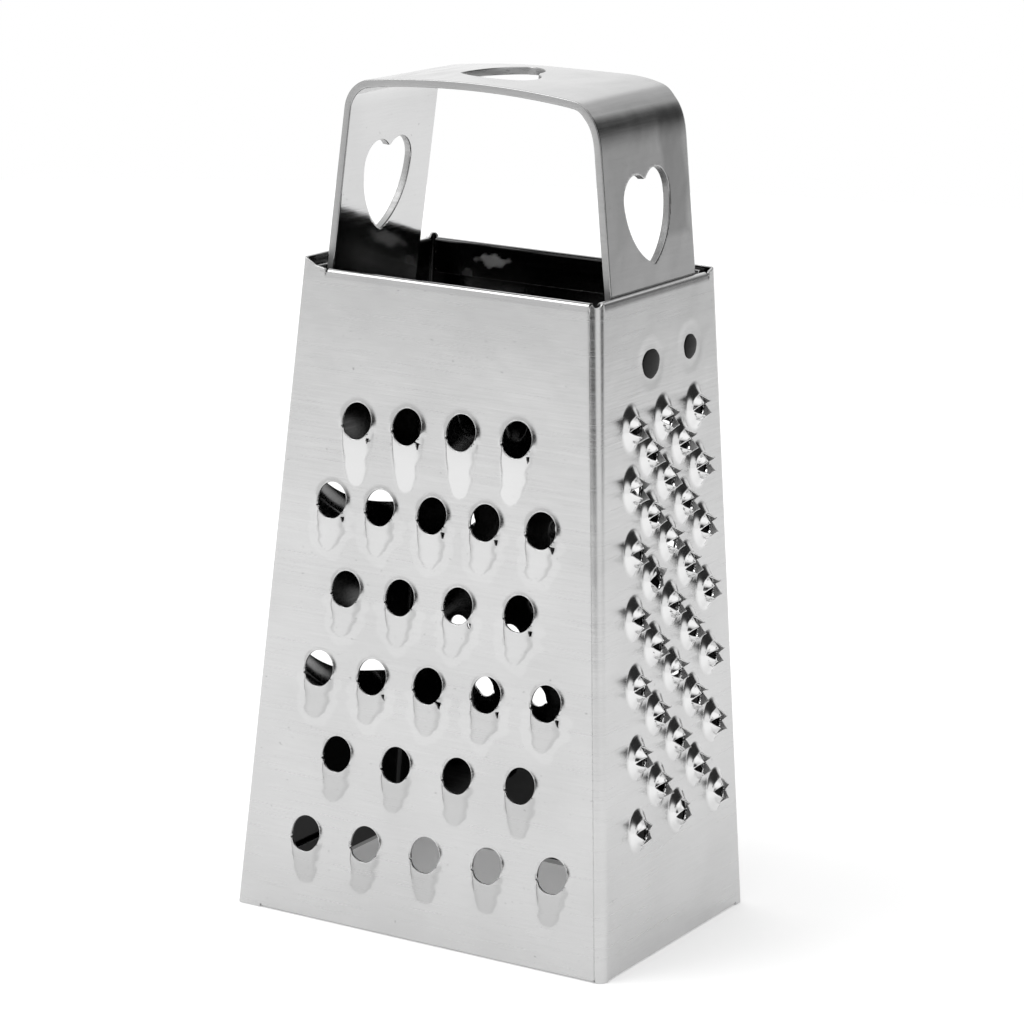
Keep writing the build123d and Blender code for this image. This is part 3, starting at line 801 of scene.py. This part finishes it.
def circle_arc(one, via, two, count):
    """Points along the arc from one point through another to a third."""
    (ax, ay), (bx, by), (cx, cy) = one, via, two
    d = 2 * (ax * (by - cy) + bx * (cy - ay) + cx * (ay - by))
    a2, b2, c2 = ax * ax + ay * ay, bx * bx + by * by, cx * cx + cy * cy
    ox = (a2 * (by - cy) + b2 * (cy - ay) + c2 * (ay - by)) / d
    oy = (a2 * (cx - bx) + b2 * (ax - cx) + c2 * (bx - ax)) / d
    first = math.atan2(ay - oy, ax - ox)
    mid = (math.atan2(by - oy, bx - ox) - first) % (2 * math.pi)
    last = (math.atan2(cy - oy, cx - ox) - first) % (2 * math.pi)
    if mid > last:
        last -= 2 * math.pi
    radius = math.hypot(ax - ox, ay - oy)
    angles = first + last * np.linspace(0, 1, count)
    return np.stack([ox + radius * np.cos(angles), oy + radius * np.sin(angles)], axis=1)


def heart_outline():
    """The heart's outline about its middle, with its tip down."""
    wide, tall = HEART
    notch, lobe = (0.0, 0.405 * tall), (0.27 * wide, 0.5 * tall)
    widest, tip = (0.5 * wide, 0.245 * tall), (0.0, -0.5 * tall)
    drop = widest[1] - tip[1]
    radius = (widest[0] ** 2 + drop**2) / (2 * widest[0])
    lean = math.asin(drop / radius) / 2
    via = (widest[0] - radius * (1 - math.cos(lean)), widest[1] - radius * math.sin(lean))
    right = np.concatenate([circle_arc(notch, lobe, widest, 20)[:-1], circle_arc(widest, via, tip, 24)])
    left = right[::-1] * np.array([-1.0, 1.0])
    return np.concatenate([right, left[1:-1]])


HEART_OUTLINE = heart_outline()


def heart_room(x, y):
    """How far points lie outside the heart."""
    room = np.full(x.shape, FAR)
    near = (np.abs(x) < 6.5) & (np.abs(y) < 6.5)
    px, py = x[near], y[near]
    best = np.full(px.shape, 1e9)
    odd = np.zeros(px.shape, bool)
    ends = np.roll(HEART_OUTLINE, -1, axis=0)
    for (ax, ay), (bx, by) in zip(HEART_OUTLINE, ends):
        dx, dy = bx - ax, by - ay
        share = np.clip(((px - ax) * dx + (py - ay) * dy) / (dx * dx + dy * dy), 0, 1)
        best = np.minimum(best, np.hypot(px - ax - share * dx, py - ay - share * dy))
        cross = (ay > py) != (by > py)
        at = ax + (py - ay) * dx / (dy if dy else 1e-9)
        odd ^= cross & (px < at)
    room[near] = np.where(odd, -best, best)
    return room


def strap_handle():
    """The closed mesh of the strap."""
    total = strap_run[-1]
    rows = np.unique(np.concatenate([strap_run, [-0.3, total + 0.3]]))
    reach = STRAP_WIDTH / 2 + GRID_MARGIN
    across = np.linspace(-reach, reach, 84)
    w, b = np.meshgrid(across, rows)
    crown_row = np.argmax(strap_points[:, 1])
    rising = strap_points[:crown_row, 1]
    falling = strap_points[crown_row:, 1]
    left_at = np.interp(LEFT_HEART_HEIGHT, rising, strap_run[:crown_row])
    right_at = np.interp(RIGHT_HEART_HEIGHT, falling[::-1], strap_run[crown_row:][::-1])
    top_at = np.interp(TOP_HEART_ALONG, strap_points[:, 0][100:-100], strap_run[100:-100])
    tilt, swing = math.radians(RIGHT_HEART_TILT), math.radians(TOP_HEART_SWING)

    def room(w, b, rolled):
        edge = np.minimum(STRAP_WIDTH / 2 - np.abs(w), np.minimum(b, total - b))
        x, y = -w, right_at - b
        across, up = x * math.cos(tilt) + y * math.sin(tilt), y * math.cos(tilt) - x * math.sin(tilt)
        right_heart = heart_room(across, up)
        across, along = w + STRAP_OFFSET + TOP_HEART_ACROSS, b - top_at
        x = (across * math.cos(swing) + along * math.sin(swing)) / TOP_HEART_STRETCH[0]
        y = (along * math.cos(swing) - across * math.sin(swing)) / TOP_HEART_STRETCH[1]
        top_heart = np.minimum(heart_room(x, y), np.hypot(x, y - 2.0) - TOP_HEART_FILL)
        hearts = np.minimum(heart_room(w, b - left_at), top_heart)
        return np.minimum(edge, np.minimum(hearts, right_heart))

    def place(w, b, rolled, lift, dw=0.0, db=0.0):
        run = b + db
        normal = np.stack([np.interp(run, strap_run, strap_normals[:, k]) for k in (0, 1)], axis=1)
        point = np.stack([np.interp(run, strap_run, strap_points[:, k]) for k in (0, 1)], axis=1)
        point = point + normal * np.reshape(lift, (-1, 1))
        past = np.clip(run - total, 0, None) + np.clip(-run, 0, None)
        z = point[:, 1] - past
        # Not quite true: the right leg runs off to the back and the left one to the front, and the
        # back edge lies further out, with a low hump on its right
        x = point[:, 0]
        below = np.clip((86.0 - z) / (86.0 - BODY_HEIGHT), 0, 1.3)
        twist = np.where(x > 0, 0.7, -0.8) * below
        far = 0.5 - w / STRAP_WIDTH
        wider = far * (0.22 + 0.036 * x)
        hump = ease(x / 4) * (1 - ease((x - 8) / 6))
        lifted = 0.85 * far * np.clip(STRAP_TOP - z, 0, 1.1) * hump
        lifted = np.where(z > STRAP_TOP - 2.5, lifted, 0)
        return np.stack([x, STRAP_OFFSET - (w + dw) + twist + wider, z + lifted], axis=1)

    def right_leg_painted_shade(w, b):
        """Painted shade: a darker patch down the far half of the right leg's upper part."""
        z = np.interp(b, strap_run[crown_row:], falling)
        side = np.minimum(w + 7.9 + 0.25 * np.sin(z * 0.9), -3.2 - w + 0.3 * np.sin(z * 1.3))
        side = np.minimum(side, np.minimum(z - 73.5, 86.5 - z))
        return np.where(b > strap_run[crown_row], np.clip(side / 0.9 + 0.5, 0, 1), 0)

    level = np.zeros(w.shape, bool)
    return shell("strap_band", w, b, level, room, place, STRAP_THICKNESS, STRAP_EDGE, right_leg_painted_shade, 2)


def wall_frame(wall, u, z, lift=0.0, inset=0.0):
    """A place on a wall, with its axes to the right, up and out."""
    lean = LEAN[wall % 2]
    out = half_span(wall + 1, z) - inset + lift * math.cos(lean)
    place = turned_about_z((u, -out, z + lift * math.sin(lean)), wall)
    right = turned_about_z((1.0, 0.0, 0.0), wall)
    up = turned_about_z((0.0, math.sin(lean), math.cos(lean)), wall)
    normal = turned_about_z((0.0, -math.cos(lean), math.sin(lean)), wall)
    return place, right, up, normal


# How far a crown may stand out at the base, and how much further for each millimetre up
CROWN_REACH = 0.31
CROWN_REACH_GAIN = 0.0718
PETAL_THICKNESS = 0.13
PETAL_FOOT = 1.72


def burr_crown(axes, heights, splays, turn):
    """A burr's torn crown: four three-cornered petals, each with thickness, that rise from its mound."""
    sides, rows = 16, 9
    centre, right, up, normal = axes
    points, faces, kinds = [], [], []
    total = 4 * sides
    for layer in (0.0, PETAL_THICKNESS):
        for k in range(total):
            angle = turn + math.pi / 4 + (k / sides - 0.5) * math.pi / 2
            petal = k // sides
            across = abs(2 * (k % sides) / sides - 1)
            top = 0.3 + 0.7 * (1 - across) ** 0.85
            for m in range(rows):
                share = m / (rows - 1) * top
                flank = min(share / 0.3, 1.0)
                neck = max(share - 0.3, 0.0) / 0.7
                radius = PETAL_FOOT - 0.37 * flank - 0.45 * ease(neck * 1.1) + splays[petal] * neck**1.6
                u, z = radius * math.cos(angle), radius * math.sin(angle)
                on_mound = MOUND.rise(np.array([u]), np.array([z]))[0]
                lift = on_mound if neck == 0 else MOUND.height + heights[petal] * neck
                inward = layer * min(1.0, 0.3 + neck * 2) * (1 - 0.5 * neck)
                u, z = u * (1 - inward / radius), z * (1 - inward / radius)
                lift += 0.05 * flank - 0.035 - layer * 0.8 * (1 - min(1.0, neck * 2))
                points.append(centre + right * u + up * z + normal * lift)
    count = total * rows
    for k in range(total):
        after = (k + 1) % total
        for m in range(rows - 1):
            a, b = k * rows + m, after * rows + m
            faces.append([a, b, b + 1, a + 1])
            kinds.append(0)
            # The petals' backs take material 1, the near-black inside steel: painted shade.
            faces.append([count + a, count + a + 1, count + b + 1, count + b])
            kinds.append(1)
        for m, flip in ((0, True), (rows - 1, False)):
            a, b = k * rows + m, after * rows + m
            face = [a, b, count + b, count + a]
            faces.append(face[::-1] if flip else face)
            kinds.append(0)
    return points, faces, kinds


def burr_crowns():
    """The torn crowns of every pierced hole of the right wall."""
    points, faces, kinds = [], [], []
    for index, (u, z) in enumerate(burr_places()):
        tall = min(rng.uniform(1.0, 1.15), CROWN_REACH + CROWN_REACH_GAIN * z - MOUND.height)
        heights = [tall * rng.uniform(0.9, 1.0) for _ in range(4)]
        splays = [rng.uniform(0.0, 0.28) for _ in range(4)]
        if index == BENT_BURR:
            heights, splays = [0.7, 0.4, 0.75, 0.5], [0.6, 0.2, 0.55, 0.15]
        more, most, sorts = burr_crown(wall_frame(1, u, z), heights, splays, rng.uniform(-0.2, 0.2))
        faces += [[v + len(points) for v in face] for face in most]
        points += more
        kinds += sorts
    # Every petal takes the full lighter tone: partly forming polish, partly painted highlight.
    return mesh_object("burr_crowns", points, faces, kinds, np.ones(len(points)))


def spot_welds(name, spots, radius, dome):
    """Round weld marks: a low dome on a short plug with an uneven edge, on each spot's own axes."""
    points, faces = [], []
    rings = ((0.0, dome), (0.4, dome * 0.9), (0.75, dome * 0.6), (0.93, dome * 0.3), (1.0, 0.0))
    for place, right, up, normal, depth in spots:
        first = len(points)
        sides = 36
        for share, lift in rings + ((1.0, -depth), (0.0, -depth)):
            for k in range(sides):
                angle = 2 * math.pi * k / sides
                wobble = 1 + 0.03 * math.sin(3 * angle + first) + 0.015 * math.sin(7 * angle)
                out = radius * share * wobble
                across, along = out * math.cos(angle), out * math.sin(angle)
                points.append(place + right * across + up * along + normal * lift)
        for ring in range(len(rings) + 1):
            for k in range(sides):
                a, b = first + ring * sides + k, first + ring * sides + (k + 1) % sides
                faces.append([a, a + sides, b + sides, b] if ring else [a, a + sides, b + sides])
    return mesh_object(name, points, faces)


front_right_sheet = folded_sheet("front_right_sheet", front_right, 0.17)
back_left_sheet = folded_sheet("back_left_sheet", back_left, 0.26)
strap_band = strap_handle()
petals = burr_crowns()

handle_spots = []
for (u, z), (wide, tall) in zip(HANDLE_WELDS, HANDLE_WELD_SHAPES):
    for wall, side, inset in ((1, u, 0.0), (3, -u, SHEET)):
        place, right, up, normal = wall_frame(wall, side, z, -0.01, inset)
        handle_spots.append((place, right * wide, up * tall, normal, 0.25))
handle_marks = spot_welds("handle_weld_marks", handle_spots, HANDLE_WELD_RADIUS, 0.08)
seam_spots = []
for z in SEAM_WELD_HEIGHTS:
    seam_spots.append(wall_frame(3, half_span(3, z) - LAP / 2, z, 0.01) + (0.2,))
    seam_spots.append(wall_frame(2, LAP / 2 - half_span(2, z), z, 0.01) + (0.2,))
seam_marks = spot_welds("seam_weld_marks", seam_spots, SEAM_WELD_RADIUS, 0.03)


def new_material(name, tone, roughness):
    """A new grey material, with its node tree and its shader."""
    material = bpy.data.materials.new(name)
    material.use_nodes = True
    tree = material.node_tree
    shader = tree.nodes["Principled BSDF"]
    shader.inputs["Base Color"].default_value = (tone, tone, tone, 1)
    shader.inputs["Roughness"].default_value = roughness
    return material, tree, shader


def feed(tree, socket, value):
    """Gives a socket its value, or links it to another node's output."""
    if isinstance(value, bpy.types.NodeSocket):
        tree.links.new(value, socket)
    else:
        socket.default_value = value


def math_node(tree, operation, *values):
    """A Math node on sockets or numbers."""
    node = tree.nodes.new("ShaderNodeMath")
    node.operation = operation
    for socket, value in zip(node.inputs, values):
        feed(tree, socket, value)
    return node


def mixed(tree, share, one, two, blend=None):
    """One value turned into another by a share, or two colours where there is a blend type."""
    node = tree.nodes.new("ShaderNodeMix")
    first, result = 2, 0
    if blend:
        node.data_type = "RGBA"
        node.blend_type = blend
        first, result = 6, 2
    for index, value in ((0, share), (first, one), (first + 1, two)):
        feed(tree, node.inputs[index], value)
    return node.outputs[result]


def noise(tree, vector, scale, stretch, **inputs):
    """A noise texture in millimetres, stretched along the object's axes."""
    mapping = tree.nodes.new("ShaderNodeMapping")
    mapping.inputs["Scale"].default_value = [1000 * scale * s for s in stretch]
    tree.links.new(vector, mapping.inputs["Vector"])
    node = tree.nodes.new("ShaderNodeTexNoise")
    node.inputs["Scale"].default_value = 1.0
    for key, value in inputs.items():
        node.inputs[key].default_value = value
    tree.links.new(mapping.outputs["Vector"], node.inputs["Vector"])
    return node


def ramp(tree, value, stops):
    """A smooth ramp between two levels, each with its place."""
    node = tree.nodes.new("ShaderNodeValToRGB")
    node.color_ramp.interpolation = "EASE"
    elements = node.color_ramp.elements
    elements[0].position, elements[0].color = stops[0][0], (*[stops[0][1]] * 3, 1)
    elements[1].position, elements[1].color = stops[1][0], (*[stops[1][1]] * 3, 1)
    tree.links.new(value, node.inputs["Fac"])
    return node.outputs["Color"]


def brushed_steel(
    name, tone, roughness, grain, spread=0.08, anisotropic=0.5, polish_and_painted_tone=0.0, worn=0.15
):
    """Cold-rolled sheet steel: fine level grain, soft blotches, specks and faint scratches.

    Where the mesh attribute is above zero it takes the colour to the given tone and the roughness to
    the worn one: lighter on the body, partly forming polish and partly painted highlight; lighter on
    the inside, painted highlight; darker on the strap, painted shade. Below zero it takes the colour
    to a darker tone, painted shade.
    """
    material, tree, shader = new_material(name, tone, roughness)
    shader.inputs["Metallic"].default_value = 1.0
    coordinates = tree.nodes.new("ShaderNodeTexCoord").outputs["Object"]
    lines = noise(tree, coordinates, 1.0, (0.25, 0.25, 9.0), Detail=6.0, Roughness=0.65)
    blotches = noise(tree, coordinates, 0.09, (1, 1, 1), Detail=3.0, Roughness=0.5)
    specks = noise(tree, coordinates, 2.2, (1, 1, 1.4), Detail=2.0, Roughness=0.4)
    scratches = noise(tree, coordinates, 0.5, (0.2, 0.2, 12.0), Detail=2.0, Distortion=0.6)
    fine = ramp(tree, lines.outputs["Fac"], ((0.2, tone * 0.97), (0.8, min(1.0, tone * 1.03))))
    wide = ramp(tree, blotches.outputs["Fac"], ((0.3, 0.94), (0.7, 1.0)))
    dots = ramp(tree, specks.outputs["Fac"], ((0.2, 0.55), (0.3, 1.0)))
    colour = mixed(tree, 1.0, fine, wide, "MULTIPLY")
    colour = mixed(tree, 0.6, colour, dots, "MULTIPLY")
    if polish_and_painted_tone:
        polish_and_paint_attribute = tree.nodes.new("ShaderNodeAttribute")
        polish_and_paint_attribute.attribute_name = "polish_and_painted_light"
        painted_shade_share = math_node(tree, "MULTIPLY", polish_and_paint_attribute.outputs["Fac"], -1.0)
        painted_shade_share.use_clamp = True
        # The given tone where the attribute is up and 0.55 of the tone where it is below zero: painted
        # highlight and painted shade mixed into the colour.
        for share, level in ((polish_and_paint_attribute.outputs["Fac"], polish_and_painted_tone), (painted_shade_share.outputs["Value"], 0.55 * tone)):
            colour = mixed(tree, share, colour, (level, level, level, 1), "MIX")
    tree.links.new(colour, shader.inputs["Base Color"])
    rough = tree.nodes.new("ShaderNodeMapRange")
    rough.inputs["From Min"].default_value = 0.25
    rough.inputs["From Max"].default_value = 0.75
    rough.inputs["To Min"].default_value = roughness - spread
    rough.inputs["To Max"].default_value = roughness + spread
    tree.links.new(scratches.outputs["Fac"], rough.inputs["Value"])
    value = rough.outputs["Result"]
    if polish_and_painted_tone:
        value = mixed(tree, polish_and_paint_attribute.outputs["Fac"], value, worn)
    tree.links.new(value, shader.inputs["Roughness"])
    shader.inputs["Anisotropic"].default_value = anisotropic
    tangent = tree.nodes.new("ShaderNodeTangent")
    tangent.direction_type = "RADIAL"
    tangent.axis = "Z"
    tree.links.new(tangent.outputs["Tangent"], shader.inputs["Tangent"])
    bump = tree.nodes.new("ShaderNodeBump")
    bump.inputs["Strength"].default_value = grain
    bump.inputs["Distance"].default_value = 0.00002
    tree.links.new(lines.outputs["Fac"], bump.inputs["Height"])
    dents = tree.nodes.new("ShaderNodeBump")
    dents.inputs["Strength"].default_value = 0.2
    dents.inputs["Distance"].default_value = 0.00035
    tree.links.new(blotches.outputs["Fac"], dents.inputs["Height"])
    tree.links.new(bump.outputs["Normal"], dents.inputs["Normal"])
    tree.links.new(dents.outputs["Normal"], shader.inputs["Normal"])
    return material


# The body's lighter tone where the sheet is formed is partly polish, partly painted highlight.
body_steel = brushed_steel("body_steel_brushed", 0.59, 0.24, 0.05, 0.05, polish_and_painted_tone=0.74)
# A near-black copy of the body steel for its inside and turned-in hems: painted shade.
inner_steel_painted_shade = brushed_steel("body_steel_inside_painted_shade", 0.058, 0.17, 0.1, 0.05, 0.2, polish_and_painted_tone=0.5, worn=0.75)
# On the strap the attribute takes the colour to a darker tone: painted shade on the right leg.
strap_steel = brushed_steel("strap_steel_satin", 0.43, 0.18, 0.1, 0.05, 0.3, polish_and_painted_tone=0.3)
# A lighter, smoother copy of the strap steel for its inner face: painted light.
strap_inner_painted_light = brushed_steel("strap_steel_inside_painted_light", 0.62, 0.1, 0.08, 0.03, 0.1)
cut_steel = brushed_steel("strap_steel_cut_edge", 0.46, 0.5, 0.8, 0.1, 0.0)
weld_steel = brushed_steel("weld_steel_heated", 0.006, 0.4, 0.3, 0.05, 0.1)

for piece, materials, slot, cad in (
    (front_right_sheet, (body_steel, inner_steel_painted_shade), "body_steel", ("front_right_half",)),
    (back_left_sheet, (body_steel, inner_steel_painted_shade), "body_steel", ("back_left_half",)),
    (petals, (body_steel, inner_steel_painted_shade), "body_steel", ()),
    (strap_band, (strap_steel, strap_inner_painted_light, cut_steel), "strap_steel", ("strap_handle",)),
    (handle_marks, (weld_steel,), "weld_steel", ("handle_spot_welds",)),
    (seam_marks, (weld_steel,), "weld_steel", ("seam_spot_welds",)),
):
    for material in materials:
        piece.data.materials.append(material)
    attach(piece, "root")
    if cad:
        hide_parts(*cad)


# Floor, world, lamp and camera
FLOOR_RADIUS = 0.5


def stage_floor():
    """A round white floor that adds a little light to the camera and to metal."""
    mesh = bpy.data.meshes.new("floor")
    around = [2 * math.pi * k / 96 for k in range(96)]
    ring = [(FLOOR_RADIUS * math.cos(angle), FLOOR_RADIUS * math.sin(angle), 0) for angle in around]
    mesh.from_pydata(ring, [], [list(range(96))])
    obj = linked_object("floor", mesh)
    material, tree, shader = new_material("floor_white", 0.93, 0.9)
    shader.inputs["Specular IOR Level"].default_value = 0.1
    rays = tree.nodes.new("ShaderNodeLightPath").outputs
    to_metal = math_node(tree, "MULTIPLY", rays["Is Glossy Ray"], 0.17).outputs["Value"]
    glow = math_node(tree, "MULTIPLY_ADD", rays["Is Camera Ray"], 0.21, to_metal).outputs["Value"]
    tree.links.new(glow, shader.inputs["Emission Strength"])
    shader.inputs["Emission Color"].default_value = (1, 1, 1, 1)
    mesh.materials.append(material)


stage_floor()

# The studio that metal reflects: its plain level, its darkest, the even level that lights the
# rest, and its brighter and darker places as azimuth, elevation, inner and outer angle in degrees, and weight
STUDIO_BASE = 0.82
STUDIO_DARKEST = 0.02
STUDIO_EVEN = 0.9
STUDIO_LOBES = (
    (-38, -5, 10, 65, 0.08),
    (80, -8, 15, 40, 0.2),
    (212, 14, 12, 30, 0.35),
    (34, 67, 14, 40, 0.4),
    (151, -9, 6, 18, 0.2),
    (125, 20, 27, 40, -0.8),
    (15, -5, 20, 42, -0.88),
)


def studio_world():
    """White to the camera, a studio to metal, and even light to the rest."""
    world = bpy.context.scene.world or bpy.data.worlds.new("studio")
    bpy.context.scene.world = world
    world.use_nodes = True
    tree = world.node_tree
    direction = tree.nodes.new("ShaderNodeTexCoord").outputs["Generated"]

    def lobe(azimuth, elevation, inner, outer, weight):
        axis = (
            math.sin(math.radians(azimuth)) * math.cos(math.radians(elevation)),
            -math.cos(math.radians(azimuth)) * math.cos(math.radians(elevation)),
            math.sin(math.radians(elevation)),
        )
        toward = tree.nodes.new("ShaderNodeVectorMath")
        toward.operation = "DOT_PRODUCT"
        toward.inputs[1].default_value = axis
        tree.links.new(direction, toward.inputs[0])
        share = tree.nodes.new("ShaderNodeMapRange")
        share.interpolation_type = "SMOOTHSTEP"
        share.inputs["From Min"].default_value = math.cos(math.radians(outer))
        share.inputs["From Max"].default_value = math.cos(math.radians(inner))
        share.inputs["To Max"].default_value = weight
        tree.links.new(toward.outputs["Value"], share.inputs["Value"])
        return share.outputs["Result"]

    total = STUDIO_BASE
    for row in STUDIO_LOBES:
        total = math_node(tree, "ADD", total, lobe(*row)).outputs["Value"]
    level = math_node(tree, "MAXIMUM", total, STUDIO_DARKEST).outputs["Value"]
    rays = tree.nodes.new("ShaderNodeLightPath").outputs
    to_metal = mixed(tree, rays["Is Glossy Ray"], STUDIO_EVEN, level)
    to_camera = mixed(tree, rays["Is Camera Ray"], to_metal, 1.0)
    background = tree.nodes["Background"]
    background.inputs["Color"].default_value = (1, 1, 1, 1)
    tree.links.new(to_camera, background.inputs["Strength"])


studio_world()


def area_light(name, place, target, size, power):
    """A soft square lamp that looks at a target."""
    light = bpy.data.lights.new(name, "AREA")
    light.shape = "RECTANGLE"
    light.size, light.size_y = size
    light.energy = power
    light.specular_factor = 0.3
    obj = linked_object(name, light)
    obj.location = place
    obj.rotation_euler = (Vector(target) - Vector(place)).to_track_quat("-Z", "Y").to_euler()


area_light("key", (-0.5, -0.5, 0.9), (0, 0, 0.04), (0.6, 0.6), 3.5)

# The camera's place in metres, and its focal length against the picture's width, both in pixels
AZIMUTH, ELEVATION, ROLL = (math.radians(a) for a in (29.74, 13.61, 1.74))
CAMERA_PLACE = (0.19623, -0.34154, 0.13841)
FOCAL_PIXELS = 3871.8
PICTURE_PIXELS = 1024
SENSOR_WIDTH = 36.0

flat = math.cos(ELEVATION)
back = np.array([math.sin(AZIMUTH) * flat, -math.cos(AZIMUTH) * flat, math.sin(ELEVATION)])
right = np.array([math.cos(AZIMUTH), math.sin(AZIMUTH), 0.0])
up = np.cross(back, right)
rolled_right = math.cos(ROLL) * right + math.sin(ROLL) * up
rolled_up = -math.sin(ROLL) * right + math.cos(ROLL) * up
camera_data = bpy.data.cameras.new("camera")
camera_data.sensor_width = SENSOR_WIDTH
camera_data.lens = FOCAL_PIXELS / PICTURE_PIXELS * SENSOR_WIDTH
camera_data.clip_start = 0.01
camera = linked_object("camera", camera_data)
camera.matrix_world = Matrix((*zip(rolled_right, rolled_up, back, CAMERA_PLACE), (0, 0, 0, 1)))
bpy.context.scene.camera = camera

bpy.context.scene.view_settings.view_transform = "Standard"
